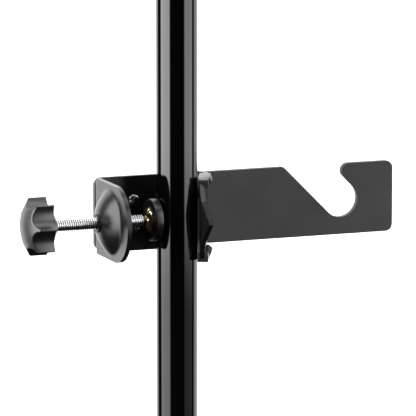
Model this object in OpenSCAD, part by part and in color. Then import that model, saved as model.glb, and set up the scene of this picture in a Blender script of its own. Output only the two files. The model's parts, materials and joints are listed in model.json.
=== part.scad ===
// Clamp-on hook on a length of stand tube.
// Millimetres, +Z up. The tube's axis is Z and its lower end is at Z = 0.
// The clamp screw lies along X. The hook plate stands behind the tube, on the +Y side.

/* [Stand tube] */
// Outside diameter of the tube
tube_d = 28; // [24:1:30]
// Wall thickness of the tube
tube_wall = 1.5; // [1:0.25:3]
// Length of the tube
tube_len = 320; // [300:10:600]
// Height of the clamp screw above the tube's lower end
clamp_z = 155; // [140:5:170]

/* [Bracket] */
// Thickness of the bracket's steel
steel = 3.2; // [3:0.1:4]
// Height of the bracket
bracket_h = 51.4; // [48:0.2:54]
// Tube axis to the front face of the bracket's web
web_y = 29; // [27:0.5:34]
// Tube axis to the outer face of the domed arm
left_arm_x = 47.8; // [44:0.1:50]
// Outer radius of the bracket's bends
bend_r = 6; // [5:0.5:8]
// Lean of the jaw arm towards the tube, in degrees
arm_lean = 24; // [20:1:28]
// Outward flare of the jaw arm's nose, in degrees
nose_flare = 10.5; // [0:0.5:20]
// Radius of the dome's foot
dome_r = 22; // [20:0.5:22]
// Height of the dome above the arm
dome_h = 9.7; // [9:0.1:12]
// Reach of the jaw arm's pointed nose in front of the tube axis
nose_reach = 31; // [28:0.5:34]

/* [Hook plate] */
// Thickness of the plate
plate_t = 4.5; // [3:0.5:6]
// Height of the plate
plate_h = 49.4; // [46:0.2:50]
// Tube axis to the plate's free end
plate_reach = 172; // [160:2:180]
// Tube axis to the plate's end behind the dome
plate_tail = 46.7; // [46:0.1:52]
// Corner radius of the plate
plate_r = 5; // [2:0.5:8]
// Tube axis to the centre of the hook seat
seat_x = 133.1; // [128:0.1:136]
// Radius of the hook seat
seat_r = 12.6; // [11:0.1:13]
// Corner radius of the hook's tip
tip_r = 5.4; // [3:0.2:6]

/* [Screw and knob] */
// Thread diameter of the clamp screw
screw_d = 8; // [6:1:8]
// Diameter of the knob
knob_d = 41; // [36:1:46]
// Number of lobes on the knob
knob_lobes = 7; // [5:1:8]
// Length of the knob's lobes
lobe_len = 12.2; // [10:0.2:16]
// Height of the knob's domed face
face_h = 6.4; // [4:0.2:8]
// Length of the knob's hub
hub_len = 3.6; // [3:0.2:8]
// Tube axis to the back of the knob's lobes
knob_x = 91; // [88:0.5:110]

/* [Pad] */
// Diameter of the pressure pad
pad_d = 28.4; // [26:0.2:32]
// Thickness of the pressure pad
pad_t = 5.4; // [5:0.1:8]
// Diameter of the cup washer
cup_d = 16; // [14:0.5:18]

/* [Hidden] */
$fn = 96;
eps = 0.5;

tube_r = tube_d / 2;
half_h = bracket_h / 2;
contact_gap = 0.3;

// bracket
shoe_wall = 1.6;
arm_in = tube_r + contact_gap + shoe_wall;
arm_out = arm_in + steel;
web_back_y = web_y + steel;
bend_in = bend_r - steel;
bend_y = web_y - bend_in;
bend_x = (arm_in - bend_in + sin(arm_lean) * bend_y) / cos(arm_lean);
arm_end = sin(arm_lean) * bend_x + cos(arm_lean) * bend_y;
nose_start = -13;
nose_tip_half = 0.8;
nose_root_y = -17;
nose_shoulder = [-19, 22];
nose_knee = [-21.7, 14];
round_centre_y = -8.4;
dome_sphere_r = (pow(dome_r, 2) + pow(dome_h, 2)) / (2 * dome_h);
dome_centre_x = dome_sphere_r - dome_h - left_arm_x;

// bush
bush_flange_r = 6.3;
bush_barrel_r = 5.4;
bush_seat_x = dome_centre_x - sqrt(pow(dome_sphere_r, 2) - pow(bush_barrel_r, 2));
bush_face_x = bush_seat_x - 0.8;
bush_len = 9;
thread_clearance = 0.05;

// M4 fasteners that hold the plate to the bracket
m4_r = 2;
m4_hole_r = 2.2;
m4_spacing = 18;
m4_x = -20.4;
m4_head_r = 4;
m4_head_h = 2.6;
washer_r = 4.5;
washer_t = 0.8;
nut_flats = 7;
nut_t = 3.2;
m4_end_y = web_back_y + plate_t + washer_t + nut_t + 1;

// hook mouth, between two 45 degree walls
half_plate = plate_h / 2;
tip_wall_sum = seat_x + seat_r * sqrt(2);
lip_wall_sum = seat_x - seat_r * sqrt(2);
lip_r = 2.5;

// pad and screw end
pad_r = pad_d / 2;
cup_r = cup_d / 2;
cup_h = 3.7;
cup_sphere_r = (pow(cup_r, 2) + pow(cup_h, 2)) / (2 * cup_h);
pad_face_x = -(tube_r + contact_gap);
pad_back_x = pad_face_x - pad_t;
boss_h = 0.7;
boss_r = cup_r + 0.6;
boss_x = pad_back_x - boss_h;
cavity_r = 5;
cavity_h = 2.6;
neck_r = 2.5;
neck_bore_r = 2.6;
neck_end_x = boss_x + 2.3;
screw_end_x = boss_x - cup_h - 0.4;
clip_x = boss_x + 0.5;
clip_t = 0.8;
clip_r = 4.4;
clip_groove_r = 2;

// knob
screw_r = screw_d / 2;
knob_r = knob_d / 2;
knob_sphere_r = (pow(knob_r, 2) + pow(face_h, 2)) / (2 * face_h);
knob_top_x = -(knob_x + lobe_len + face_h);
flute_r = knob_r * 0.45;
flute_depth = knob_r * 0.32;
first_lobe = 2.6;
hub_r = 7;
hub_root_r = 13;
stud_depth = 8;

// jaw shoe, along the leaning arm
shoe_in = tube_r + contact_gap;
shoe_out = arm_out + 2.4;
shoe_near = -12;
shoe_far = 19.2;
shoe_half_z = 27.8;
clip_depth = 5.2;
notch_z = 21.5;
notch = 7;
barb_near = 6;

// Moves to the centre of the clamp, where the tube's axis meets the screw's.
module at_clamp() {
    translate([0, 0, clamp_z]) children();
}

// Cylinder along X, from x0 to x1.
module x_rod(x0, x1, r, r1 = undef) {
    translate([x0, 0, 0])
        rotate([0, 90, 0])
            cylinder(h = x1 - x0, r1 = r, r2 = is_undef(r1) ? r : r1);
}

// Cylinder along Y, from y0 to y1.
module y_rod(y0, y1, r) {
    translate([0, y0, 0])
        rotate([-90, 0, 0])
            cylinder(h = y1 - y0, r = r);
}

// Stands a YZ outline up and gives it a thickness along X.
module x_plate(x0, x1) {
    translate([x0, 0, 0])
        rotate([90, 0, 90])
            linear_extrude(height = x1 - x0) children();
}

// Stands an XZ outline up and gives it a thickness along Y.
module y_plate(y0, y1) {
    translate([0, y1, 0])
        rotate([90, 0, 0])
            linear_extrude(height = y1 - y0) children();
}

// Part of a flat ring between two angles less than 180 degrees apart.
module ring_sector(inner_r, outer_r, from_angle, to_angle) {
    reach = 3 * outer_r;
    middle = (from_angle + to_angle) / 2;
    intersection() {
        difference() {
            circle(outer_r);
            circle(inner_r);
        }
        polygon([
            [0, 0], reach * [cos(from_angle), sin(from_angle)],
            2 * reach * [cos(middle), sin(middle)], reach * [cos(to_angle), sin(to_angle)],
        ]);
    }
}

// Turns about the tube's axis to the leaning jaw arm: X across its thickness, Y along it.
module along_arm() {
    rotate([0, 0, -arm_lean]) children();
}

module pole_tube() {
    color("#101012")
        difference() {
            cylinder(h = tube_len, r = tube_r);
            translate([0, 0, -eps])
                cylinder(h = tube_len + 2 * eps, r = tube_r - tube_wall);
        }
}

// Straight run of the jaw arm and its nose, which turns outwards as a lead-in for the tube.
module arm_and_nose() {
    turn = arm_lean + nose_flare;
    nose_run = nose_reach * [sin(turn), -cos(turn)];
    outer_corner = [arm_out, nose_start];
    inner_corner = [arm_in, nose_start - steel * tan(turn / 2)];
    polygon([
        [arm_in, arm_end], [arm_out, arm_end], outer_corner,
        outer_corner + nose_run, inner_corner + nose_run, inner_corner,
    ]);
}

// Outline of the bent strip, seen from above.
module bracket_strip() {
    left_bend_x = bend_r - left_arm_x;
    near_y = round_centre_y - half_h - eps;
    translate([-left_arm_x, near_y]) square([steel, bend_y - near_y]);
    translate([left_bend_x, bend_y]) ring_sector(bend_in, bend_r, 90, 180);
    translate([left_bend_x, web_y]) square([bend_x - left_bend_x, steel]);
    translate([bend_x, bend_y]) ring_sector(bend_in, bend_r, -arm_lean, 90);
    along_arm() arm_and_nose();
}

// Side outline of the domed arm, round at its near end.
module round_arm() {
    translate([round_centre_y, 0]) circle(half_h);
    translate([round_centre_y, -half_h]) square([web_back_y + eps - round_centre_y, bracket_h]);
}

// Side outline of the jaw arm, which narrows in two steps to a blunt pointed nose.
module pointed_arm() {
    upper = [
        [web_back_y + eps, half_h], [nose_root_y, half_h],
        nose_shoulder, nose_knee, [-nose_reach, nose_tip_half],
    ];
    lower = [for (i = [len(upper) - 1:-1:0]) [upper[i][0], -upper[i][1]]];
    polygon(concat(upper, lower));
}

module clamp_bracket() {
    color("#232326") at_clamp()
        difference() {
            union() {
                intersection() {
                    translate([0, 0, -half_h])
                        linear_extrude(height = bracket_h) bracket_strip();
                    union() {
                        x_plate(-left_arm_x - eps, 0) round_arm();
                        x_plate(0, bend_x + bend_r + eps) pointed_arm();
                    }
                }
                intersection() {
                    translate([dome_centre_x, 0, 0]) sphere(dome_sphere_r);
                    x_rod(-left_arm_x - dome_h - eps, steel / 2 - left_arm_x, dome_r + eps);
                }
            }
            translate([dome_centre_x, 0, 0]) sphere(dome_sphere_r - steel);
            x_rod(-left_arm_x - dome_h - eps, -left_arm_x, bush_barrel_r);
            for (side = [-1, 1])
                translate([m4_x, 0, side * m4_spacing / 2])
                    y_rod(web_y - eps, web_back_y + eps, m4_hole_r);
        }
}

module screw_bush() {
    color("#1b1b1d") at_clamp()
        difference() {
            union() {
                x_rod(bush_face_x, bush_seat_x, bush_flange_r);
                x_rod(bush_face_x, bush_face_x + bush_len, bush_barrel_r);
            }
            x_rod(bush_face_x - eps, bush_face_x + bush_len + eps, screw_r + thread_clearance);
        }
}

// Rounds the corner at v of a plate outline that has edges along u and w from it.
module corner_round(v, u, w, r) {
    half_angle = acos(u * w) / 2;
    run = r / tan(half_angle);
    centre = v + (u + w) / norm(u + w) * r / sin(half_angle);
    difference() {
        children();
        polygon([v - (u + w) * eps, v + u * run, centre, v + w * run]);
    }
    translate(centre) circle(r);
}

// Plate blank with its four rounded corners.
module plate_blank() {
    low_x = plate_r - plate_tail;
    high_x = plate_reach - plate_r;
    translate([-plate_tail, plate_r - half_plate])
        square([plate_tail + plate_reach, plate_h - 2 * plate_r]);
    translate([low_x, -half_plate]) square([high_x - low_x, plate_h]);
    for (x = [low_x, high_x], side = [-1, 1])
        translate([x, side * (half_plate - plate_r)]) circle(plate_r);
}

// Hook plate outline, seen from the front: X across, Z up.
module hook_outline() {
    down_right = [1, -1] / sqrt(2);
    mouth_top = half_plate + eps;
    wall_run = seat_r / sqrt(2);
    corner_round([tip_wall_sum - half_plate, half_plate], down_right, [1, 0], tip_r)
        corner_round([lip_wall_sum - half_plate, half_plate], down_right, [-1, 0], lip_r)
            difference() {
                plate_blank();
                translate([seat_x, 0]) circle(seat_r);
                polygon([
                    [lip_wall_sum - mouth_top, mouth_top],
                    [seat_x - wall_run, -wall_run],
                    [seat_x + wall_run, wall_run],
                    [tip_wall_sum - mouth_top, mouth_top],
                ]);
            }
}

module hook_plate() {
    color("#48484a") at_clamp()
        difference() {
            y_plate(web_back_y, web_back_y + plate_t) hook_outline();
            for (side = [-1, 1])
                translate([m4_x, 0, side * m4_spacing / 2])
                    y_rod(web_back_y - eps, web_back_y + plate_t + eps, m4_hole_r);
        }
}

// Outline of the shoe's inner wall: Y along the arm, Z up, notched at its near edge.
module shoe_wall_outline() {
    upper = [
        [shoe_far, shoe_half_z], [shoe_near, shoe_half_z],
        [shoe_near, notch_z], [shoe_near + notch, notch_z - notch],
    ];
    lower = [for (i = [len(upper) - 1:-1:0]) [upper[i][0], -upper[i][1]]];
    polygon(concat(upper, lower));
}

// Barb of the shoe's clip, which snaps over the arm, seen from the front.
module clip_barb() {
    polygon([
        [arm_out, half_h], [shoe_out, shoe_half_z], [shoe_out + 1.8, shoe_half_z - 4.2],
        [arm_out + 1.2, shoe_half_z - 6.9], [arm_out, shoe_half_z - 6],
    ]);
}

module jaw_shoe() {
    length = shoe_far - shoe_near;
    color("#161618") at_clamp() along_arm() {
        x_plate(shoe_in, arm_in) shoe_wall_outline();
        for (side = [0, 1]) mirror([0, 0, side]) {
            translate([shoe_in, shoe_near, half_h])
                cube([shoe_out - shoe_in, length, shoe_half_z - half_h]);
            translate([arm_out, shoe_near, shoe_half_z - clip_depth])
                cube([shoe_out - arm_out, length, clip_depth]);
            y_plate(barb_near, shoe_far) clip_barb();
        }
    }
}

module clamp_screw() {
    color("#c9ccce") at_clamp()
        difference() {
            union() {
                x_rod(-knob_x - stud_depth, screw_end_x, screw_r);
                x_rod(screw_end_x - eps, neck_end_x, neck_r);
            }
            difference() {
                x_rod(clip_x, clip_x + clip_t, neck_r + eps);
                x_rod(clip_x - eps, clip_x + clip_t + eps, clip_groove_r);
            }
        }
}

module star_knob() {
    flute_centre = knob_r - flute_depth + flute_r;
    color("#2a2a2c") at_clamp()
        difference() {
            union() {
                difference() {
                    intersection() {
                        x_rod(knob_top_x, -knob_x, knob_r);
                        translate([knob_top_x + knob_sphere_r, 0, 0]) sphere(knob_sphere_r);
                    }
                    for (i = [0:knob_lobes - 1]) {
                        turn = first_lobe + (i + 0.5) * 360 / knob_lobes;
                        translate([0, -flute_centre * cos(turn), flute_centre * sin(turn)])
                            x_rod(knob_top_x - eps, -knob_x + eps, flute_r);
                    }
                }
                x_rod(-knob_x - eps, hub_len - knob_x, hub_root_r, hub_r);
            }
            x_rod(-knob_x - stud_depth, hub_len - knob_x + eps, screw_r);
        }
}

module pressure_pad() {
    color("#18181a") at_clamp()
        difference() {
            union() {
                x_rod(pad_back_x, pad_face_x, pad_r);
                x_rod(boss_x, pad_back_x + eps, boss_r);
            }
            x_rod(boss_x - eps, boss_x + cavity_h, cavity_r);
        }
}

module pad_cup() {
    color("#c9a94a") at_clamp()
        difference() {
            intersection() {
                translate([boss_x - cup_h + cup_sphere_r, 0, 0]) sphere(cup_sphere_r);
                x_rod(boss_x - cup_h - eps, boss_x, cup_r + eps);
            }
            x_rod(boss_x - cup_h - eps, boss_x + eps, neck_bore_r);
        }
}

module pad_clip() {
    color("#8f9296") at_clamp()
        difference() {
            x_rod(clip_x, clip_x + clip_t, clip_r);
            x_rod(clip_x - eps, clip_x + clip_t + eps, clip_groove_r);
        }
}

// M4 pan head screw with a cross recess; its head is in front of the web.
module bracket_screw(side) {
    dome = (pow(m4_head_r, 2) + pow(m4_head_h, 2)) / (2 * m4_head_h);
    color("#cfd2d4") at_clamp() translate([m4_x, 0, side * m4_spacing / 2])
        difference() {
            union() {
                y_rod(web_y - eps, m4_end_y, m4_r);
                intersection() {
                    y_rod(web_y - m4_head_h, web_y, m4_head_r);
                    translate([0, web_y - m4_head_h + dome, 0]) sphere(dome);
                }
            }
            for (turn = [20, 110])
                rotate([0, turn, 0])
                    translate([-2, web_y - m4_head_h - eps, -0.45])
                        cube([4, 1.6 + eps, 0.9]);
        }
}

module bracket_screw_upper() {
    bracket_screw(1);
}

module bracket_screw_lower() {
    bracket_screw(-1);
}

module plate_washer(side) {
    y0 = web_back_y + plate_t;
    color("#b9bcbe") at_clamp() translate([m4_x, 0, side * m4_spacing / 2])
        difference() {
            y_rod(y0, y0 + washer_t, washer_r);
            y_rod(y0 - eps, y0 + washer_t + eps, m4_hole_r);
        }
}

module plate_washer_upper() {
    plate_washer(1);
}

module plate_washer_lower() {
    plate_washer(-1);
}

module plate_nut(side) {
    y0 = web_back_y + plate_t + washer_t;
    color("#b9bcbe") at_clamp() translate([m4_x, 0, side * m4_spacing / 2])
        difference() {
            translate([0, y0, 0])
                rotate([-90, 0, 0])
                    cylinder(h = nut_t, r = nut_flats / sqrt(3), $fn = 6);
            y_rod(y0 - eps, y0 + nut_t + eps, m4_r);
        }
}

module plate_nut_upper() {
    plate_nut(1);
}

module plate_nut_lower() {
    plate_nut(-1);
}

pole_tube();
clamp_bracket();
screw_bush();
hook_plate();
jaw_shoe();
clamp_screw();
star_knob();
pressure_pad();
pad_cup();
pad_clip();
bracket_screw_upper();
bracket_screw_lower();
plate_washer_upper();
plate_washer_lower();
plate_nut_upper();
plate_nut_lower();
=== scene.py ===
"""Looks for the clamp-on hook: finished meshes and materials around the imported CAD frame.

Lengths are metres in the frame's own axes: the tube stands on Z, the clamp screw lies along X,
and the hook plate is behind the tube on +Y. Shapes are written in millimetres and scaled by MM.
"""

import json
import math

import bmesh
import bpy
from mathutils import Matrix, Vector


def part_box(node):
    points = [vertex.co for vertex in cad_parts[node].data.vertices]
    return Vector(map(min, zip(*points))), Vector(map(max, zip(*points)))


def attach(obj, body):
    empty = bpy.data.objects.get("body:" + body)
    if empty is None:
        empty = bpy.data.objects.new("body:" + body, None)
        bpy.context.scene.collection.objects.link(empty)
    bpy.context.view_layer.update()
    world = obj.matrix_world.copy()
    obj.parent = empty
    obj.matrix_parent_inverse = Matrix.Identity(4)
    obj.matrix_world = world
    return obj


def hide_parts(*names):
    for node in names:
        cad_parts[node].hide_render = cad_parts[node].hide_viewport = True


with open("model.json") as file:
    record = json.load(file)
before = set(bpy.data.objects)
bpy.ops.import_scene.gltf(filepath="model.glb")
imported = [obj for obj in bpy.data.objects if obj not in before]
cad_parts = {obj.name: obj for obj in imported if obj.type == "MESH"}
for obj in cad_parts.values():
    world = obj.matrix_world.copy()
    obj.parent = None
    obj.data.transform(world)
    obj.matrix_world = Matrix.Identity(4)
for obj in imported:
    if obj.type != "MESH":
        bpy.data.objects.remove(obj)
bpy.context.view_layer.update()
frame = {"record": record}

MM = 0.001
TAU = 2 * math.pi


# ---------------------------------------------------------------- places, read from the frame

def low(node):
    """Lowest corner of a CAD node, in millimetres."""
    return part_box(node)[0] / MM


def high(node):
    """Highest corner of a CAD node, in millimetres."""
    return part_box(node)[1] / MM


def middle(node):
    return (low(node) + high(node)) / 2


CLAMP_Z = middle("clamp_screw").z
TUBE_R = high("pole_tube").x
TUBE_TOP = high("pole_tube").z
BORE_R = frame["record"]["mounts"][0]["dims"]["r_mm"]
WEB_BACK = low("hook_plate").y
PLATE_BACK = high("hook_plate").y
HALF_H = (high("clamp_bracket").z - low("clamp_bracket").z) / 2
SCREW_R = (high("clamp_screw").z - low("clamp_screw").z) / 2
KNOB_R = high("star_knob").z - CLAMP_Z


# ---------------------------------------------------------------- mesh building

def make_mesh(name, points, faces, smooth_angle=35):
    """Mesh object from points in millimetres about the clamp's centre line."""
    mesh = bpy.data.meshes.new(name)
    mesh.from_pydata([Vector(p) * MM for p in points], [], faces)
    mesh.update()
    bm = bmesh.new()
    bm.from_mesh(mesh)
    bmesh.ops.remove_doubles(bm, verts=bm.verts, dist=1e-7)
    bmesh.ops.recalc_face_normals(bm, faces=bm.faces)
    bm.to_mesh(mesh)
    bm.free()
    obj = bpy.data.objects.new(name, mesh)
    bpy.context.scene.collection.objects.link(obj)
    shade(obj, smooth_angle)
    return obj


def shade(obj, angle):
    """Smooth faces with edges kept sharp where they turn by more than angle degrees."""
    mesh = obj.data
    mesh.polygons.foreach_set("use_smooth", [True] * len(mesh.polygons))
    mesh.set_sharp_from_angle(angle=math.radians(angle))


def apply_modifiers(obj):
    """Bakes the object's modifiers into its mesh."""
    bpy.context.view_layer.update()
    evaluated = obj.evaluated_get(bpy.context.evaluated_depsgraph_get())
    mesh = bpy.data.meshes.new_from_object(evaluated)
    obj.modifiers.clear()
    old = obj.data
    obj.data = mesh
    bpy.data.meshes.remove(old)


def loft(name, rings, closed=False, smooth_angle=35):
    """Skin over rings of equal length. Its ends are filled, or if closed the last ring joins the first."""
    count = len(rings[0])
    points = [p for ring in rings for p in ring]
    faces = []
    last = len(rings) if closed else len(rings) - 1
    for i in range(last):
        a, b = i * count, ((i + 1) % len(rings)) * count
        for j in range(count):
            k = (j + 1) % count
            faces.append((a + j, a + k, b + k, b + j))
    if not closed:
        faces.append(tuple(range(count)))
        faces.append(tuple(range((len(rings) - 1) * count, len(rings) * count)))
    return make_mesh(name, points, faces, smooth_angle)


def around_x(x, radius, steps):
    """Ring of points about the clamp screw's axis."""
    return [
        (x, radius * math.cos(TAU * j / steps), CLAMP_Z + radius * math.sin(TAU * j / steps))
        for j in range(steps)
    ]


def around_y(y, radius, steps, x0, z0):
    """Ring of points about a line along Y."""
    return [
        (x0 + radius * math.cos(TAU * j / steps), y, z0 - radius * math.sin(TAU * j / steps))
        for j in range(steps)
    ]


def around_z(z, radius, steps):
    """Ring of points about the tube's axis."""
    return [
        (radius * math.cos(TAU * j / steps), radius * math.sin(TAU * j / steps), z)
        for j in range(steps)
    ]


def rounded(profile, radius):
    """Profile whose inner corners are replaced by short curves of about the radius."""
    steps = 4
    out = [profile[0]]
    for i in range(1, len(profile) - 1):
        before, here, after = (Vector(profile[i + d]) for d in (-1, 0, 1))
        to_a, to_b = before - here, after - here
        reach = min(radius, to_a.length * 0.45, to_b.length * 0.45)
        start, end = here + to_a.normalized() * reach, here + to_b.normalized() * reach
        for k in range(steps + 1):
            t = k / steps
            p = start * (1 - t) ** 2 + here * 2 * t * (1 - t) + end * t * t
            out.append((p.x, p.y))
    return out + [profile[-1]]


def lathe_x(name, profile, steps, closed=False):
    """Turned piece about the clamp screw's axis, from (x, radius) pairs."""
    return loft(name, [around_x(x, r, steps) for x, r in profile], closed)


def lathe_y(name, profile, x0, z0, steps, closed=False):
    """Turned piece about a line along Y, from (y, radius) pairs."""
    return loft(name, [around_y(y, r, steps, x0, z0) for y, r in profile], closed)


def arc(cx, cy, radius, start, end, steps):
    """Points on an arc between two angles in degrees."""
    return [
        (
            cx + radius * math.cos(math.radians(start + (end - start) * i / steps)),
            cy + radius * math.sin(math.radians(start + (end - start) * i / steps)),
        )
        for i in range(steps + 1)
    ]


def prism(name, near, far, smooth_angle=35):
    """Closed piece between two outlines with the same number of points."""
    count = len(near)
    faces = [tuple(range(count)), tuple(range(count, 2 * count))]
    faces += [(i, (i + 1) % count, (i + 1) % count + count, i + count) for i in range(count)]
    return make_mesh(name, near + far, faces, smooth_angle)


def slab(name, outline, place, depth, edge, smooth_angle):
    """Flat piece with rounded edges. place turns an outline point and a depth into a point."""
    near, far = ([place(u, v, at) for u, v in outline] for at in (0, depth))
    obj = prism(name, near, far, smooth_angle)
    soften(obj, edge, smooth_angle)
    return obj


def soften(obj, edge, angle):
    """Rounds every edge that turns by more than the angle."""
    bevel = obj.modifiers.new("edge", "BEVEL")
    bevel.width = edge * MM
    bevel.segments = 3
    bevel.limit_method = "ANGLE"
    bevel.angle_limit = math.radians(angle)
    bevel.harden_normals = True
    apply_modifiers(obj)


def subtract(obj, cutter):
    """Cuts one piece out of another and deletes the cutter."""
    boolean = obj.modifiers.new("cut", "BOOLEAN")
    boolean.operation = "DIFFERENCE"
    boolean.object = cutter
    boolean.solver = "EXACT"
    apply_modifiers(obj)
    bpy.data.objects.remove(cutter)


def cut_hole(obj, start, end, radius):
    """Drills a round hole between two points in millimetres."""
    start, end = Vector(start) * MM, Vector(end) * MM
    turn = (end - start).to_track_quat("Z", "Y").to_matrix().to_4x4()
    bm = bmesh.new()
    bmesh.ops.create_cone(
        bm, cap_ends=True, segments=48, radius1=radius * MM, radius2=radius * MM,
        depth=(end - start).length,
        matrix=Matrix.Translation((start + end) / 2) @ turn,
    )
    mesh = bpy.data.meshes.new("drill")
    bm.to_mesh(mesh)
    bm.free()
    drill = bpy.data.objects.new("drill", mesh)
    bpy.context.scene.collection.objects.link(drill)
    subtract(obj, drill)


# ---------------------------------------------------------------- materials

def material(name, **sockets):
    """Principled material. sockets are set straight on the shader."""
    mat = bpy.data.materials.new(name)
    mat.use_nodes = True
    shader = mat.node_tree.nodes["Principled BSDF"]
    for socket, value in sockets.items():
        shader.inputs[socket.replace("_", " ")].default_value = value
    return mat, mat.node_tree, shader


def add(tree, kind, **values):
    """Node whose inputs and settings are given by name."""
    node = tree.nodes.new(kind)
    for key, value in values.items():
        if key in node.inputs:
            node.inputs[key].default_value = value
        else:
            setattr(node, key, value)
    return node


def noise(tree, scale, detail, stretch=(1, 1, 1)):
    """Noise in object space, in cycles per metre."""
    place = add(tree, "ShaderNodeTexCoord")
    mapping = add(tree, "ShaderNodeMapping", Scale=stretch)
    texture = add(tree, "ShaderNodeTexNoise", Scale=scale, Detail=detail)
    tree.links.new(place.outputs["Object"], mapping.inputs["Vector"])
    tree.links.new(mapping.outputs["Vector"], texture.inputs["Vector"])
    return texture.outputs["Fac"]


def ramp(tree, source, low_value, high_value, start=0.35, end=0.65):
    """Number that goes from one value to another as the source rises."""
    node = add(tree, "ShaderNodeMapRange")
    node.inputs["From Min"].default_value = start
    node.inputs["From Max"].default_value = end
    node.inputs["To Min"].default_value = low_value
    node.inputs["To Max"].default_value = high_value
    tree.links.new(source, node.inputs["Value"])
    return node.outputs["Result"]


def colour_mix(tree, source, first, second):
    """Colour that goes from one shade to another as the source rises."""
    node = add(tree, "ShaderNodeMix", data_type="RGBA")
    node.inputs["A"].default_value = (*first, 1)
    node.inputs["B"].default_value = (*second, 1)
    tree.links.new(ramp(tree, source, 0, 1), node.inputs["Factor"])
    return node.outputs["Result"]


def bump(tree, shader, source, strength, distance):
    """Bump whose height is distance, in millimetres."""
    node = add(tree, "ShaderNodeBump", Strength=strength, Distance=distance * MM)
    tree.links.new(source, node.inputs["Height"])
    tree.links.new(node.outputs["Normal"], shader.inputs["Normal"])
    return node


def powder_coat(name, dark, light, roughness, specular=0.5):
    """Fine-textured powder coat on steel."""
    grain_mm, depth_mm = 0.35, 0.02
    mat, tree, shader = material(name, Specular_IOR_Level=specular)
    broad = noise(tree, 45, 4)
    tree.links.new(colour_mix(tree, broad, dark, light), shader.inputs["Base Color"])
    grain = noise(tree, 1 / (grain_mm * MM), 2)
    tree.links.new(ramp(tree, grain, roughness - 0.05, roughness + 0.05), shader.inputs["Roughness"])
    bump(tree, shader, grain, 0.35, depth_mm)
    return mat


def gloss_enamel(name, dark, light, coat, stretch, peel_mm):
    """Stoved enamel. stretch draws its faint waviness out along the metal, and peel_mm is its height."""
    mat, tree, shader = material(name, Coat_Weight=1.0, Coat_Roughness=coat, Specular_IOR_Level=0.0)
    broad = noise(tree, 30, 3, stretch)
    tree.links.new(colour_mix(tree, broad, dark, light), shader.inputs["Base Color"])
    fine = noise(tree, 260, 4, stretch)
    tree.links.new(ramp(tree, fine, 0.3, 0.45), shader.inputs["Roughness"])
    peel = bump(tree, shader, noise(tree, 420, 2, stretch), 0.3, peel_mm)
    tree.links.new(peel.outputs["Normal"], shader.inputs["Coat Normal"])
    return mat


def moulded(name, dark, light, roughness, specular=0.5):
    """Moulded plastic with a fine spark-eroded grain."""
    grain_mm, depth_mm = 0.25, 0.012
    mat, tree, shader = material(name, Specular_IOR_Level=specular)
    broad = noise(tree, 60, 3)
    tree.links.new(colour_mix(tree, broad, dark, light), shader.inputs["Base Color"])
    grain = noise(tree, 1 / (grain_mm * MM), 2)
    tree.links.new(ramp(tree, grain, roughness - 0.06, roughness + 0.06), shader.inputs["Roughness"])
    bump(tree, shader, grain, 0.2, depth_mm)
    return mat


def plated(name, dark, light, roughness):
    """Plated steel with brushed variation in its polish."""
    mat, tree, shader = material(name, Metallic=1.0)
    fine = noise(tree, 900, 4)
    tree.links.new(colour_mix(tree, noise(tree, 120, 3), dark, light), shader.inputs["Base Color"])
    tree.links.new(ramp(tree, fine, roughness - 0.06, roughness + 0.08), shader.inputs["Roughness"])
    bump(tree, shader, fine, 0.1, 0.01)
    return mat


def painted_thread_shade(mat):
    """Painted shade: darkens a plated screw's colour towards the roots of its thread, where shade falls.
    """
    tree = mat.node_tree
    shader = tree.nodes["Principled BSDF"]
    clean = shader.inputs["Base Color"].links[0].from_socket
    place = add(tree, "ShaderNodeTexCoord").outputs["Object"]
    centred = add(tree, "ShaderNodeVectorMath", operation="SUBTRACT")
    centred.inputs[1].default_value = (0, 0, CLAMP_Z * MM)
    tree.links.new(place, centred.inputs[0])
    flat = add(tree, "ShaderNodeVectorMath", operation="MULTIPLY")
    flat.inputs[1].default_value = (0, 1, 1)
    tree.links.new(centred.outputs["Vector"], flat.inputs[0])
    length = add(tree, "ShaderNodeVectorMath", operation="LENGTH")
    tree.links.new(flat.outputs["Vector"], length.inputs[0])
    mix = add(tree, "ShaderNodeMix", data_type="RGBA")
    # painted shade colour for the thread roots
    painted_root_shade = (0.22, 0.22, 0.22, 1)
    mix.inputs["A"].default_value = painted_root_shade
    tree.links.new(clean, mix.inputs["B"])
    root, crest = SCREW_R * 0.8 * MM, SCREW_R * 0.98 * MM
    depth = ramp(tree, length.outputs["Value"], 0, 1, root, crest)
    tree.links.new(depth, mix.inputs["Factor"])
    tree.links.new(mix.outputs["Result"], shader.inputs["Base Color"])
    return mat


TUBE_ENAMEL = gloss_enamel(
    "tube_enamel", (0.0008, 0.0008, 0.0009), (0.0014, 0.0014, 0.0015), 0.05, (1, 1, 0.12), 0.004,
)
BRACKET_COAT = gloss_enamel(
    "bracket_enamel", (0.0035, 0.0035, 0.0038), (0.0065, 0.0065, 0.0068), 0.3, (1, 1, 1), 0.006,
)
PLATE_COAT = powder_coat("plate_coat", (0.020, 0.020, 0.021), (0.026, 0.026, 0.027), 0.5)
KNOB_PLASTIC = moulded("knob_plastic", (0.003, 0.003, 0.0033), (0.006, 0.006, 0.0065), 0.38, 0.9)
SHOE_PLASTIC = moulded("shoe_plastic", (0.013, 0.013, 0.0135), (0.019, 0.019, 0.020), 0.4, 0.7)
PAD_PLASTIC = moulded("pad_plastic", (0.006, 0.006, 0.0065), (0.010, 0.010, 0.011), 0.3)
BUSH_METAL = powder_coat(
    "bush_black_oxide", (0.004, 0.004, 0.0045), (0.008, 0.008, 0.009), 0.33, specular=0.25,
)
# The screw's zinc carries painted shade towards the roots of its thread.
BRIGHT_ZINC = painted_thread_shade(plated("bright_zinc", (0.78, 0.79, 0.81), (0.88, 0.89, 0.91), 0.24))
YELLOW_ZINC = plated("yellow_zinc", (0.80, 0.60, 0.26), (0.92, 0.76, 0.42), 0.16)
NICKEL = plated("nickel_plate", (0.74, 0.73, 0.70), (0.86, 0.85, 0.82), 0.14)
DULL_ZINC = plated("dull_zinc", (0.52, 0.53, 0.54), (0.66, 0.67, 0.68), 0.35)
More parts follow.
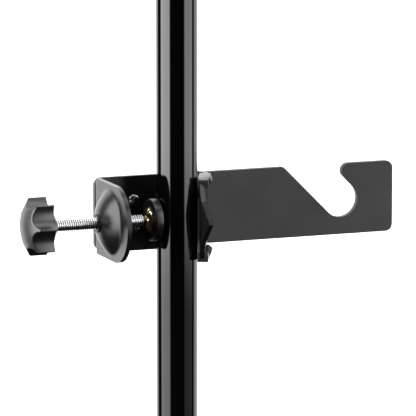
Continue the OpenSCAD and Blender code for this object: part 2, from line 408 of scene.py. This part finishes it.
SPRING_STEEL = plated("spring_steel", (0.26, 0.26, 0.27), (0.38, 0.38, 0.39), 0.3)


def finish_piece(obj, node, body, mat):
    """Gives a piece its material and its body, and hides the CAD node that it stands for."""
    obj.data.materials.clear()
    obj.data.materials.append(mat)
    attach(obj, body)
    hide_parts(node)
    return obj


# ---------------------------------------------------------------- stand tube

def tube_piece():
    """Drawn tube with its bore and softly deburred ends."""
    lip = 0.35
    section = rounded(
        [(BORE_R, TUBE_TOP / 2), (BORE_R, 0), (TUBE_R, 0), (TUBE_R, TUBE_TOP), (BORE_R, TUBE_TOP),
         (BORE_R, TUBE_TOP / 2)], lip,
    )
    rings = [around_z(z, r, 160) for r, z in section[:-1]]
    return loft("stand_tube", rings, closed=True)


# ---------------------------------------------------------------- bracket

STEEL = 3.2
BEND_R = 6.0
BEND_IN = BEND_R - STEEL
LEAN = 24.0
FLARE = 10.5
NOSE_START = -13.0
NOSE_REACH = 31.0
NOSE_ROOT_Y = -17.0
NOSE_SHOULDER = (-19.0, 22.0)
NOSE_KNEE = (-21.7, 14.0)
NOSE_TIP_HALF = 0.8
ROUND_CENTRE_Y = -8.4
DOME_R = 22.0
DOME_H = 9.7
FOOT_R = 4.0
BUSH_R = 5.4
ARM_FLAT_X = -47.8
SHOE_IN = TUBE_R + 0.3
ARM_IN = SHOE_IN + 1.6
ARM_OUT = ARM_IN + STEEL
WEB_Y = WEB_BACK - STEEL
BEND_Y = WEB_Y - BEND_IN
BEND_X = (
    ARM_OUT - BEND_R + math.sin(math.radians(LEAN)) * BEND_Y
) / math.cos(math.radians(LEAN))


def along_arm(x, y, z=0.0):
    """Point of the leaning jaw arm, from X across its thickness and Y along it."""
    a = math.radians(-LEAN)
    return (x * math.cos(a) - y * math.sin(a), x * math.sin(a) + y * math.cos(a), z + CLAMP_Z)


def dome_profile(steps=30):
    """(radius, X) pairs of the pressed dome's outer skin, from the bush hole to its blended foot."""
    sphere_r = (DOME_R ** 2 + DOME_H ** 2) / (2 * DOME_H)
    centre_x = sphere_r - DOME_H + ARM_FLAT_X
    foot_centre_x = ARM_FLAT_X - FOOT_R
    rise = centre_x - foot_centre_x
    foot_centre_r = math.sqrt((sphere_r + FOOT_R) ** 2 - rise ** 2)
    join = math.atan2(foot_centre_r, rise)
    start = math.asin(BUSH_R / sphere_r)
    skin = []
    for i in range(steps + 1):
        t = start + (join - start) * i / steps
        skin.append((sphere_r * math.sin(t), centre_x - sphere_r * math.cos(t)))
    for i in range(1, 9):
        t = join * (1 - i / 8)
        skin.append((foot_centre_r - FOOT_R * math.sin(t), foot_centre_x + FOOT_R * math.cos(t)))
    return skin


def arm_edge(angle):
    """Distance from the dome's centre to the domed arm's outline, at an angle from +Y to +Z."""
    c, s = math.cos(angle), math.sin(angle)
    options = []
    if c > 1e-9:
        options.append(BEND_Y / c)
    if abs(s) > 1e-9:
        options.append(HALF_H / abs(s))
    reach = min(options) if options else 1e9
    if reach * c < ROUND_CENTRE_Y:
        inside = (ROUND_CENTRE_Y * c) ** 2 - ROUND_CENTRE_Y ** 2 + HALF_H ** 2
        reach = ROUND_CENTRE_Y * c + math.sqrt(inside)
    return reach


def strip_stations():
    """Outer skin of the bent strip beyond the domed arm, as (x, y) points seen from above."""
    left_x = ARM_FLAT_X + BEND_R
    path = [(left_x - BEND_R * math.cos(t), BEND_Y + BEND_R * math.sin(t))
            for t in (math.radians(90 * i / 14) for i in range(15))]
    path += [(left_x + (BEND_X - left_x) * i / 12, WEB_BACK) for i in range(1, 12)]
    path += [(BEND_X + BEND_R * math.sin(t), BEND_Y + BEND_R * math.cos(t))
             for t in (math.radians((90 + LEAN) * i / 16) for i in range(17))]
    arm_end = math.sin(math.radians(LEAN)) * BEND_X + math.cos(math.radians(LEAN)) * BEND_Y
    turn = math.radians(LEAN + FLARE)
    nose_bend = 5.0
    run = nose_bend * math.tan(turn / 2)
    for i in range(1, 8):
        y = arm_end + (NOSE_START + run - arm_end) * i / 7
        path.append(along_arm(ARM_OUT, y)[:2])
    for i in range(1, 9):
        t = turn * i / 8
        x = ARM_OUT + nose_bend * (1 - math.cos(t))
        y = NOSE_START + run - nose_bend * math.sin(t)
        path.append(along_arm(x, y)[:2])
    last = Vector(along_arm(
        ARM_OUT + nose_bend * (1 - math.cos(turn)),
        NOSE_START + run - nose_bend * math.sin(turn),
    )[:2])
    way = Vector(along_arm(math.sin(turn), -math.cos(turn))[:2])
    end_y = -NOSE_REACH - 1
    length = (end_y - last.y) / way.y
    path += [tuple(last + way * length * i / 8) for i in range(1, 9)]
    return path


def bracket_piece():
    """Bent strip with its pressed dome: the outer skin, thickened inwards."""
    rows = 24
    far = [math.atan2(HALF_H * k / rows, BEND_Y) for k in range(-rows, rows + 1)]
    rest = 112
    start, end = far[-1], far[0] + TAU
    angles = far + [start + (end - start) * i / rest for i in range(1, rest)]
    ring_size = len(angles)
    points, faces = [], []
    dome = dome_profile()
    spread = 7
    for r, x in dome:
        points += [(x, r * math.cos(a), CLAMP_Z + r * math.sin(a)) for a in angles]
    foot_r = dome[-1][0]
    for i in range(1, spread + 1):
        share = i / spread
        for a in angles:
            r = foot_r + (arm_edge(a) - foot_r) * share
            points.append((ARM_FLAT_X, r * math.cos(a), CLAMP_Z + r * math.sin(a)))
    ring_count = len(dome) + spread
    for i in range(ring_count - 1):
        for j in range(ring_size):
            k = (j + 1) % ring_size
            a, b = i * ring_size, (i + 1) * ring_size
            faces.append((a + j, a + k, b + k, b + j))
    first = (ring_count - 1) * ring_size
    previous = [first + k for k in range(2 * rows + 1)]
    for x, y in strip_stations()[1:]:
        current = []
        for k in range(-rows, rows + 1):
            current.append(len(points))
            points.append((x, y, CLAMP_Z + HALF_H * k / rows))
        for k in range(2 * rows):
            faces.append((previous[k], previous[k + 1], current[k + 1], current[k]))
        previous = current
    obj = make_mesh("bent_bracket", points, faces)
    turn_outwards(obj)
    thick = obj.modifiers.new("thickness", "SOLIDIFY")
    thick.thickness = STEEL * MM
    thick.offset = -1
    thick.use_even_offset = True
    thick.use_quality_normals = True
    apply_modifiers(obj)
    trim_nose(obj)
    for side in (-1, 1):
        z = CLAMP_Z + side * M4_SPACING / 2
        cut_hole(obj, (M4_X, WEB_Y - 2, z), (M4_X, WEB_BACK + 2, z), M4_HOLE_R)
    soften(obj, 0.45, 50)
    return obj


def turn_outwards(obj):
    """Makes the skin's normals point away from the tube, whichever way they came out."""
    mesh = obj.data
    face = max(mesh.polygons, key=lambda p: p.center.y)
    if face.normal.y < 0:
        mesh.flip_normals()


def trim_nose(obj):
    """Cuts the jaw arm's nose to its blunt point, in two steps above and below."""
    for side in (-1, 1):
        outline = [
            (NOSE_ROOT_Y, side * (HALF_H + 5)), (NOSE_ROOT_Y, side * HALF_H),
            (NOSE_SHOULDER[0], side * NOSE_SHOULDER[1]), (NOSE_KNEE[0], side * NOSE_KNEE[1]),
            (-NOSE_REACH, side * NOSE_TIP_HALF), (-NOSE_REACH, side * -5),
            (-NOSE_REACH - 9, side * -5), (-NOSE_REACH - 9, side * (HALF_H + 5)),
        ]
        near, far = ([(x, y, z + CLAMP_Z) for y, z in outline] for x in (5, 60))
        subtract(obj, prism("cutter", near, far))


# ---------------------------------------------------------------- bush, screw, knob

def bush_piece():
    """Threaded bush pressed into the dome: round flange outside, barrel inside."""
    box_low, box_high = low("screw_bush"), high("screw_bush")
    flange_r = (box_high.z - box_low.z) / 2
    seat_x = box_low.x + 1.3
    bore = SCREW_R + 0.05
    section = rounded(
        [(box_high.x - 3, bore), (box_low.x, bore), (box_low.x, flange_r), (seat_x, flange_r),
         (seat_x, BUSH_R), (box_high.x, BUSH_R), (box_high.x, bore), (box_high.x - 3, bore)], 0.4,
    )
    return lathe_x("screw_bush_turned", section[:-1], 72, closed=True)


PITCH = 1.5
CORE_R = 3.2


def screw_piece():
    """Screw with its real right-hand helix, and the plain neck that the pad swivels on."""
    box_low, box_high = low("clamp_screw"), high("clamp_screw")
    end_x = low("pad_cup").x - 0.4
    steps = 40
    profile = [CORE_R, CORE_R, 3.45, 3.72, SCREW_R - 0.03, SCREW_R, SCREW_R - 0.03, 3.72, 3.45]
    per_turn = len(profile)
    turns = int((end_x - box_low.x) / PITCH) + 2
    points, faces = [], []

    def spot(i, j):
        x = box_low.x + PITCH * (i / per_turn + j / steps - 1)
        r = profile[i % per_turn]
        chamfer = CORE_R - 0.3 + max(0.0, min(x - box_low.x, end_x - x)) * 0.9
        if x <= box_low.x or x >= end_x:
            r = CORE_R - 0.3
        r = min(r, chamfer)
        x = min(max(x, box_low.x), end_x)
        a = TAU * j / steps
        return (x, r * math.cos(a), CLAMP_Z + r * math.sin(a))

    rings = per_turn * (turns + 1)
    for i in range(rings + per_turn):
        points += [spot(i, j) for j in range(steps)]
    for i in range(rings - 1):
        for j in range(steps):
            a = i * steps + j
            b = (i + per_turn) * steps if j == steps - 1 else a + 1
            faces.append((a, b, b + steps, a + steps))
    obj = make_mesh("helical_screw", points, faces, 70)
    bm = bmesh.new()
    bm.from_mesh(obj.data)
    loose = [v for v in bm.verts if not v.link_faces]
    bmesh.ops.delete(bm, geom=loose, context="VERTS")
    bmesh.ops.dissolve_degenerate(bm, edges=bm.edges, dist=1e-7)
    bmesh.ops.holes_fill(bm, edges=bm.edges, sides=0)
    bmesh.ops.recalc_face_normals(bm, faces=bm.faces)
    bm.to_mesh(obj.data)
    bm.free()
    shade(obj, 70)
    neck_r = 2.5
    neck = rounded(
        [(end_x - 1, 0.01), (end_x - 1, neck_r), (low("pad_clip").x, neck_r),
         (low("pad_clip").x, 2.0), (high("pad_clip").x, 2.0), (high("pad_clip").x, neck_r),
         (box_high.x, neck_r), (box_high.x, 0.01)], 0.15,
    )
    return join([obj, lathe_x("neck", neck, 48)])


def join(objs):
    """One object from several separate shells."""
    bm = bmesh.new()
    for obj in objs:
        bm.from_mesh(obj.data)
    mesh = bpy.data.meshes.new(objs[0].name)
    bm.to_mesh(mesh)
    bm.free()
    first = objs[0]
    first.data = mesh
    for obj in objs[1:]:
        bpy.data.objects.remove(obj)
    shade(first, 40)
    return first


LOBES = 7
FIRST_LOBE = 2.6


def knob_outline():
    """Outline of the lobed knob about its axis, with its corners rounded."""
    flute_r, flute_at = KNOB_R * 0.45, KNOB_R * 1.13
    steps, smoothing_passes = 20, 10
    corner = math.acos(
        (KNOB_R ** 2 + flute_at ** 2 - flute_r ** 2) / (2 * KNOB_R * flute_at)
    )
    half = math.pi / LOBES
    outline = []
    for n in range(LOBES):
        mid = math.radians(180 - FIRST_LOBE) - TAU * n / LOBES
        for i in range(steps):
            a = mid + (half - corner) * (1 - 2 * i / steps)
            outline.append(Vector((math.cos(a), math.sin(a))) * KNOB_R)
        centre_a = mid - half
        centre = Vector((math.cos(centre_a), math.sin(centre_a))) * flute_at
        edge = Vector((math.cos(centre_a + corner), math.sin(centre_a + corner))) * KNOB_R - centre
        first = math.atan2(edge.y, edge.x)
        other = Vector((math.cos(centre_a - corner), math.sin(centre_a - corner))) * KNOB_R - centre
        sweep = (math.atan2(other.y, other.x) - first) % TAU
        for i in range(steps):
            a = first + sweep * i / steps
            outline.append(centre + Vector((math.cos(a), math.sin(a))) * flute_r)
    for _ in range(smoothing_passes):
        outline = [
            (outline[i - 1] + outline[i] * 2 + outline[(i + 1) % len(outline)]) / 4
            for i in range(len(outline))
        ]
    return outline


def inset(outline, depth):
    """Outline moved inwards by depth."""
    moved = []
    for i, p in enumerate(outline):
        along = (outline[(i + 1) % len(outline)] - outline[i - 1]).normalized()
        moved.append(p + Vector((along.y, -along.x)) * depth)
    if sum(p.length for p in moved) > sum(p.length for p in outline):
        return [p + (p - q) for p, q in zip(outline, moved)]
    return moved


def knob_piece():
    """Seven-lobed knob: domed face, rounded lobe edges, flat back and a tapered hub."""
    top_x = low("star_knob").x
    hub_end = high("star_knob").x
    hub_len, face_h = 3.6, 6.4
    back_x = hub_end - hub_len
    sphere_r = (KNOB_R ** 2 + face_h ** 2) / (2 * face_h)
    outline = knob_outline()
    edge, back_edge = 1.6, 0.9

    def face_x(r):
        return top_x + sphere_r - math.sqrt(sphere_r ** 2 - r * r)

    def ring(points, x_of):
        return [(x_of(p), p.x, CLAMP_Z + p.y) for p in points]

    rings = []
    rim = inset(outline, edge)
    for share in (0.02, 0.15, 0.3, 0.45, 0.6, 0.72, 0.82, 0.9, 0.96, 1.0):
        rings.append(ring([p * share for p in rim], lambda p: face_x(p.length)))
    for i in range(1, 9):
        t = math.radians(90 * i / 8)
        moved = inset(outline, edge * (1 - math.sin(t)))
        rings.append([
            (face_x(q.length) + edge * (1 - math.cos(t)), p.x, CLAMP_Z + p.y)
            for p, q in zip(moved, rim)
        ])
    rings.append(ring(outline, lambda p: back_x - back_edge))
    for i in range(1, 6):
        t = math.radians(90 * i / 5)
        moved = inset(outline, back_edge * (1 - math.cos(t)))
        rings.append(ring(moved, lambda p: back_x - back_edge * (1 - math.sin(t))))
    flat = inset(outline, back_edge)
    hub = rounded([(back_x, 13.6), (back_x, 13.0), (hub_end, 7.0), (hub_end, SCREW_R + 0.02)], 0.8)
    bore = [(hub_end - 3, SCREW_R + 0.02)]
    for x, r in hub + bore:
        rings.append([(x, r * p.normalized().x, CLAMP_Z + r * p.normalized().y) for p in flat])
    return loft("star_knob_moulded", rings, smooth_angle=38)


# ---------------------------------------------------------------- pad, cup, clip

def pad_piece():
    """Swivel pad: flat face to the tube, and a low boss that carries the cup washer."""
    box_low, box_high = low("pressure_pad"), high("pressure_pad")
    r = (box_high.z - box_low.z) / 2
    boss_x = box_low.x
    back_x = boss_x + 0.7
    cavity_x = boss_x + 2.6
    boss_r = (high("pad_cup").z - low("pad_cup").z) / 2 + 0.6
    section = rounded(
        [(cavity_x, 0.01), (cavity_x, 5.0), (boss_x, 5.0), (boss_x, boss_r), (back_x, boss_r + 0.4),
         (back_x, r), (box_high.x, r), (box_high.x, 0.01)], 0.7,
    )
    return lathe_x("swivel_pad", section, 128)


def cup_piece():
    """Domed cup washer that the screw's shoulder bears on."""
    box_low, box_high = low("pad_cup"), high("pad_cup")
    r = (box_high.z - box_low.z) / 2
    h = 3.7
    sphere_r = (r * r + h * h) / (2 * h)
    top_x = box_high.x - h
    skin = []
    for i in range(25):
        t = 2.6 / sphere_r + (math.asin(r / sphere_r) - 2.6 / sphere_r) * i / 24
        skin.append((top_x + sphere_r * (1 - math.cos(t)), sphere_r * math.sin(t)))
    section = [(box_high.x, 2.6)] + skin + [(box_high.x, r - 0.3)]
    return lathe_x("cup_washer", section, 96, closed=True)


def clip_piece():
    """Spring ring in the groove of the screw's neck."""
    box_low, box_high = low("pad_clip"), high("pad_clip")
    r = (box_high.z - box_low.z) / 2
    x0, x1 = box_low.x, box_high.x
    section = rounded([(x1, 3), (x1, 2.0), (x0, 2.0), (x0, r), (x1, r), (x1, 3)], 0.12)
    return lathe_x("retaining_clip", section[:-1], 64, closed=True)


# ---------------------------------------------------------------- hook plate

def fillet_path(corners):
    """Outline from (x, y, radius) corners, each turned into an arc."""
    out = []
    count = len(corners)
    for i in range(count):
        x, y, r = corners[i]
        here = Vector((x, y))
        if r == 0:
            out.append(here)
            continue
        before, after = Vector(corners[i - 1][:2]), Vector(corners[(i + 1) % count][:2])
        to_a, to_b = (before - here).normalized(), (after - here).normalized()
        half = to_a.angle(to_b) / 2
        centre = here + (to_a + to_b).normalized() * (r / math.sin(half))
        start = here + to_a * (r / math.tan(half)) - centre
        end = here + to_b * (r / math.tan(half)) - centre
        sweep = start.angle_signed(end)
        steps = max(4, int(abs(sweep) * 8))
        for k in range(steps + 1):
            a = math.atan2(start.y, start.x) - sweep * k / steps
            out.append(centre + Vector((math.cos(a), math.sin(a))) * r)
    return out


M4_X = -20.4
M4_SPACING = 18.0
M4_HOLE_R = 2.2
SEAT_X = 133.1
SEAT_R = 12.6


def hook_outline():
    """Seen from the front: X across, Z up from the clamp's centre line."""
    plate_low, plate_high = low("hook_plate"), high("hook_plate")
    half = (plate_high.z - plate_low.z) / 2
    root2 = math.sqrt(2)
    tip_x = SEAT_X + SEAT_R * root2 - half
    lip_x = SEAT_X - SEAT_R * root2 - half
    seat = arc(SEAT_X, 0, SEAT_R, 45, -135, 64)
    corners = [
        (plate_low.x, -half, 5), (plate_high.x, -half, 5), (plate_high.x, half, 5),
        (tip_x, half, 5.4),
    ]
    corners += [(x, z, 0) for x, z in seat]
    corners += [(lip_x, half, 2.5), (plate_low.x, half, 5)]
    return [(p.x, p.y) for p in fillet_path(corners)]


def hook_piece():
    """Flat plate with the slanted hook mouth and its two screw holes."""
    def place(u, v, depth):
        return (u, WEB_BACK + depth, CLAMP_Z + v)

    obj = slab("hook_plate_cut", hook_outline(), place, PLATE_BACK - WEB_BACK, 0.35, 40)
    for side in (-1, 1):
        z = CLAMP_Z + side * M4_SPACING / 2
        cut_hole(obj, (M4_X, WEB_BACK - 2, z), (M4_X, PLATE_BACK + 2, z), M4_HOLE_R)
    return obj


# ---------------------------------------------------------------- jaw shoe

def shoe_piece():
    """Plastic shoe: inner wall, clips over both edges of the arm, and snap barbs."""
    outer = ARM_OUT + 2.4
    near, far = -12.0, 19.2
    clip_depth = 5.2
    notch_z, notch_depth = 21.5, 7
    top = middle("jaw_shoe").z - low("jaw_shoe").z
    section = [
        (SHOE_IN, -top), (outer, -top), (outer, clip_depth - top), (ARM_OUT, clip_depth - top),
        (ARM_OUT, -HALF_H), (ARM_IN, -HALF_H), (ARM_IN, HALF_H), (ARM_OUT, HALF_H),
        (ARM_OUT, top - clip_depth), (outer, top - clip_depth), (outer, top), (SHOE_IN, top),
    ]

    def place(u, v, depth):
        return along_arm(u, near + depth, v)

    shoe = slab("jaw_shoe_moulded", section, place, far - near, 0.01, 80)
    notch = [
        (near - 3, -notch_z), (near, -notch_z), (near + notch_depth, notch_depth - notch_z),
        (near + notch_depth, notch_z - notch_depth), (near, notch_z), (near - 3, notch_z),
    ]
    cuts = ([along_arm(x, y, z) for y, z in notch] for x in (SHOE_IN - 2, ARM_IN + 1))
    subtract(shoe, prism("cutter", *cuts))
    soften(shoe, 0.35, 30)
    parts = [shoe]
    barb_near = 6

    def place_barb(u, v, depth):
        return along_arm(u, barb_near + depth, v)

    for side in (-1, 1):
        barb = [(ARM_OUT, side * HALF_H), (outer, side * top), (outer + 1.8, side * (top - 4.2)),
                (ARM_OUT + 1.2, side * (top - 6.9)), (ARM_OUT, side * (top - 6))]
        parts.append(slab("barb", barb, place_barb, far - barb_near, 0.3, 30))
    return join(parts)


# ---------------------------------------------------------------- M4 fasteners

def screw_m4(node):
    """Pan head machine screw with a cross recess."""
    box_low, box_high = low(node), high(node)
    z0 = middle(node).z
    head_r = (box_high.z - box_low.z) / 2
    crown = [(box_low.y + 0.75 * (1 - math.cos(math.radians(a))) * 1.6, head_r * 0.98 *
              math.sin(math.radians(a))) for a in range(4, 78, 6)]
    profile = [(box_low.y, 0.01)] + crown + [
        (WEB_Y - 0.9, head_r), (WEB_Y - 0.02, head_r), (WEB_Y - 0.02, 2.0),
        (box_high.y - 0.4, 2.0), (box_high.y, 1.6), (box_high.y, 0.01),
    ]
    obj = lathe_y(node + "_pan", profile, M4_X, z0, 56)
    for turn in (20, 110):
        a = math.radians(turn)
        along, across = Vector((math.cos(a), 0, -math.sin(a))), Vector((math.sin(a), 0, math.cos(a)))
        top, deep = box_low.y - 0.5, box_low.y + 1.7
        mouth, floor = (
            [
                tuple(Vector((M4_X, y, z0)) + along * s * 2.1 * grow + across * t * 0.5 * grow)
                for s, t in ((-1, -1), (1, -1), (1, 1), (-1, 1))
            ]
            for y, grow in ((top, 1.0), (deep, 0.45))
        )
        subtract(obj, prism("cutter", mouth, floor))
    shade(obj, 35)
    return obj


def washer_m4(node):
    """Flat washer with its edges broken."""
    box_low, box_high = low(node), high(node)
    r = (box_high.z - box_low.z) / 2
    y0, y1 = box_low.y, box_high.y
    section = rounded(
        [(y1, 3.3), (y1, M4_HOLE_R), (y0, M4_HOLE_R), (y0, r), (y1, r), (y1, 3.3)], 0.12,
    )
    return lathe_y(node + "_pressed", section[:-1], M4_X, middle(node).z, 56, closed=True)


def nut_m4(node):
    """Hexagon nut with the corners chamfered by a cone at each face."""
    box_low, box_high = low(node), high(node)
    z0 = middle(node).z
    y0, y1 = box_low.y, box_high.y
    flats = 7.0
    steps = 96

    def hexagon(a):
        return flats / 2 / math.cos((a + math.pi / 6) % (math.pi / 3) - math.pi / 6)

    def ring(y, limit):
        points = []
        for j in range(steps):
            a = TAU * j / steps
            r = min(hexagon(a), limit)
            points.append((M4_X + r * math.cos(a), y, z0 + r * math.sin(a)))
        return points

    rings = [ring(y0 + 1, 2.0), ring(y0, 2.0), ring(y0, 3.3), ring(y0 + 0.5, 4.1),
             ring(y1 - 0.5, 4.1), ring(y1, 3.3), ring(y1, 2.0)]
    return loft(node + "_hex", rings, closed=True, smooth_angle=28)


# ---------------------------------------------------------------- build

finish_piece(tube_piece(), "pole_tube", "tube", TUBE_ENAMEL)
finish_piece(bracket_piece(), "clamp_bracket", "clamp", BRACKET_COAT)
finish_piece(bush_piece(), "screw_bush", "clamp", BUSH_METAL)
finish_piece(hook_piece(), "hook_plate", "clamp", PLATE_COAT)
finish_piece(shoe_piece(), "jaw_shoe", "clamp", SHOE_PLASTIC)
finish_piece(screw_piece(), "clamp_screw", "screw", BRIGHT_ZINC)
finish_piece(knob_piece(), "star_knob", "screw", KNOB_PLASTIC)
finish_piece(clip_piece(), "pad_clip", "screw", SPRING_STEEL)
finish_piece(pad_piece(), "pressure_pad", "pad", PAD_PLASTIC)
finish_piece(cup_piece(), "pad_cup", "pad", YELLOW_ZINC)
for place in ("upper", "lower"):
    finish_piece(screw_m4("bracket_screw_" + place), "bracket_screw_" + place, "clamp", NICKEL)
    finish_piece(washer_m4("plate_washer_" + place), "plate_washer_" + place, "clamp", DULL_ZINC)
    finish_piece(nut_m4("plate_nut_" + place), "plate_nut_" + place, "clamp", DULL_ZINC)


# ---------------------------------------------------------------- floor, light, camera

AIM = Vector((0.0224, 0.0, CLAMP_Z * MM + 0.00547))
TO_CAMERA = Vector((-0.3582, -0.9187, 0.1668)).normalized()
CAMERA_DISTANCE = 2.9
PICTURE_WIDTH = 0.280


def camera():
    """Camera at the photograph's viewing angle."""
    data = bpy.data.cameras.new("camera")
    data.sensor_width = 36
    data.lens = data.sensor_width * CAMERA_DISTANCE / PICTURE_WIDTH
    data.clip_start, data.clip_end = 0.1, 50
    obj = bpy.data.objects.new("camera", data)
    obj.location = AIM + TO_CAMERA * CAMERA_DISTANCE
    obj.rotation_euler = (-TO_CAMERA).to_track_quat("-Z", "Y").to_euler()
    bpy.context.scene.collection.objects.link(obj)
    bpy.context.scene.camera = obj


def stage_sheet(name, size, place):
    """Grid of the floor or backdrop that only the camera sees, so that it can't tint the metal."""
    bm = bmesh.new()
    bmesh.ops.create_grid(bm, x_segments=48, y_segments=24, size=1)
    for v in bm.verts:
        v.co = place(v.co.x, v.co.y) * size
    mesh = bpy.data.meshes.new(name)
    bm.to_mesh(mesh)
    bm.free()
    obj = bpy.data.objects.new(name, mesh)
    bpy.context.scene.collection.objects.link(obj)
    obj.visible_diffuse = False
    obj.visible_glossy = False
    obj.visible_transmission = False
    obj.visible_shadow = False
    return obj


def floor_and_backdrop():
    """Plain pale floor, and a white dome far behind it."""
    floor = stage_sheet("floor", 30, lambda u, v: Vector((u, v, 0)))
    floor.location.z = low("pole_tube").z * MM - 0.0005
    mat, tree, shader = material("floor_pale", Roughness=0.9, Emission_Strength=0.5)
    shader.inputs["Emission Color"].default_value = (1, 1, 1, 1)
    tone = noise(tree, 3, 2)
    tree.links.new(
        colour_mix(tree, tone, (0.86, 0.86, 0.86), (0.90, 0.90, 0.90)), shader.inputs["Base Color"],
    )
    floor.data.materials.append(mat)

    def dome(u, v):
        azimuth, elevation = math.pi * u, math.pi / 4 * (v + 1)
        return Vector((
            math.cos(azimuth) * math.cos(elevation), math.sin(azimuth) * math.cos(elevation),
            math.sin(elevation),
        ))

    sky = stage_sheet("backdrop", 29, dome)
    white, tree, shader = material("backdrop_white", Emission_Strength=1.0)
    shader.inputs["Base Color"].default_value = (0, 0, 0, 1)
    shader.inputs["Emission Color"].default_value = (1, 1, 1, 1)
    sky.data.materials.append(white)


def math_node(tree, operation, first, second=None):
    """Math node whose operands are numbers or sockets."""
    node = add(tree, "ShaderNodeMath", operation=operation)
    for socket, value in zip(node.inputs, (first, second)):
        if value is None:
            continue
        if isinstance(value, (int, float)):
            socket.default_value = value
        else:
            tree.links.new(value, socket)
    return node.outputs[0]


def soft_step(tree, value, full, none):
    """1 up to full, falling smoothly to 0 at none."""
    node = add(tree, "ShaderNodeMapRange", interpolation_type="SMOOTHSTEP")
    node.inputs["From Min"].default_value = full
    node.inputs["From Max"].default_value = none
    node.inputs["To Min"].default_value = 1
    node.inputs["To Max"].default_value = 0
    tree.links.new(value, node.inputs["Value"])
    return node.outputs["Result"]


def dot(tree, direction, axis):
    """Dot product of a direction with a fixed axis."""
    node = add(tree, "ShaderNodeVectorMath", operation="DOT_PRODUCT")
    node.inputs[1].default_value = axis
    tree.links.new(direction, node.inputs[0])
    return node.outputs["Value"]


def panel(tree, direction, azimuth, half_width, bottom, top, radiance, edge):
    """Soft-edged panel of light, at an azimuth in degrees to the right of the camera."""
    base = math.atan2(TO_CAMERA.y, TO_CAMERA.x) + math.radians(azimuth)
    ahead = (math.cos(base), math.sin(base), 0)
    side = (-math.sin(base), math.cos(base), 0)
    turn = math_node(tree, "ARCTAN2", dot(tree, direction, side), dot(tree, direction, ahead))
    turn = math_node(tree, "ABSOLUTE", turn)
    tilt = math_node(tree, "ARCSINE", dot(tree, direction, (0, 0, 1)))
    tilt = math_node(tree, "SUBTRACT", tilt, math.radians((bottom + top) / 2))
    tilt = math_node(tree, "ABSOLUTE", tilt)
    wide = math.radians(half_width)
    tall = math.radians((top - bottom) / 2)
    blur = math.radians(edge)
    across = soft_step(tree, turn, wide - blur, wide + blur)
    upright = soft_step(tree, tilt, tall - blur, tall + blur)
    return math_node(tree, "MULTIPLY", math_node(tree, "MULTIPLY", across, upright), radiance)


PANELS = (
    # azimuth, half width, bottom, top, radiance, edge
    (-68, 29, -10, 45, 7.2, 4),
    (-68, 29, -22, -10, 3.4, 4),
    (68, 25, -10, 45, 3.9, 4),
    (68, 25, -22, -10, 0.4, 4),
    (171, 62, -26, 60, 2.0, 5),
)
ROOM_GLOW = 0.01
TOP_WATTS = 12


def studio_light():
    """Soft panels at both sides and behind the part, in an otherwise dark room."""
    world = bpy.data.worlds.new("studio")
    bpy.context.scene.world = world
    world.use_nodes = True
    tree = world.node_tree
    direction = add(tree, "ShaderNodeTexCoord").outputs["Generated"]
    total = ROOM_GLOW
    for values in PANELS:
        total = math_node(tree, "ADD", total, panel(tree, direction, *values))
    back = tree.nodes["Background"]
    back.inputs["Color"].default_value = (1, 1, 1, 1)
    tree.links.new(total, back.inputs["Strength"])


def top_light():
    """Large soft lamp above the part."""
    light = bpy.data.lights.new("softbox_top", "AREA")
    light.shape = "RECTANGLE"
    light.size, light.size_y = 1.4, 1.0
    light.energy = TOP_WATTS
    obj = bpy.data.objects.new("softbox_top", light)
    obj.location = AIM + Vector((0, -0.1, 1.4))
    obj.visible_camera = False
    bpy.context.scene.collection.objects.link(obj)


camera()
floor_and_backdrop()
studio_light()
top_light()
bpy.context.scene.view_settings.view_transform = "Standard"
